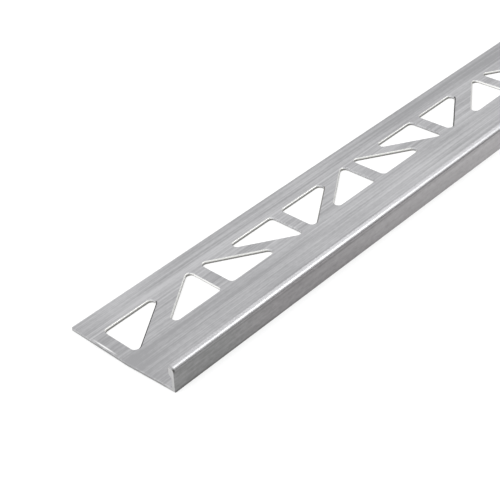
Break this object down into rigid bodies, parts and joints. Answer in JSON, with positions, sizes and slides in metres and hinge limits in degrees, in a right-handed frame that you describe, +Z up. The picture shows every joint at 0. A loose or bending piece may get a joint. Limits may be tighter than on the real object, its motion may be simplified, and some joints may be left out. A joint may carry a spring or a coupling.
{
  "type": "tile edge trim",
  "caption": "L-shaped aluminium edge trim bar for tiles: a short leg with a thickened rounded head and a wide flange punched with triangular holes for mortar.",
  "frame": {"origin": "centre of the bar's footprint, on the underside of the flange", "axes": "+X along the bar, away from the end that the picture shows; -Y outwards from the leg's visible face; +Z up, out of the flange towards the leg's head"},
  "size_m": [1, 0.0318, 0.006],
  "materials": {
    "aluminium": "mill finish, extruded"
  },
  "bodies": {
    "root": {"edge_trim": "aluminium"}
  },
  "joints": []
}
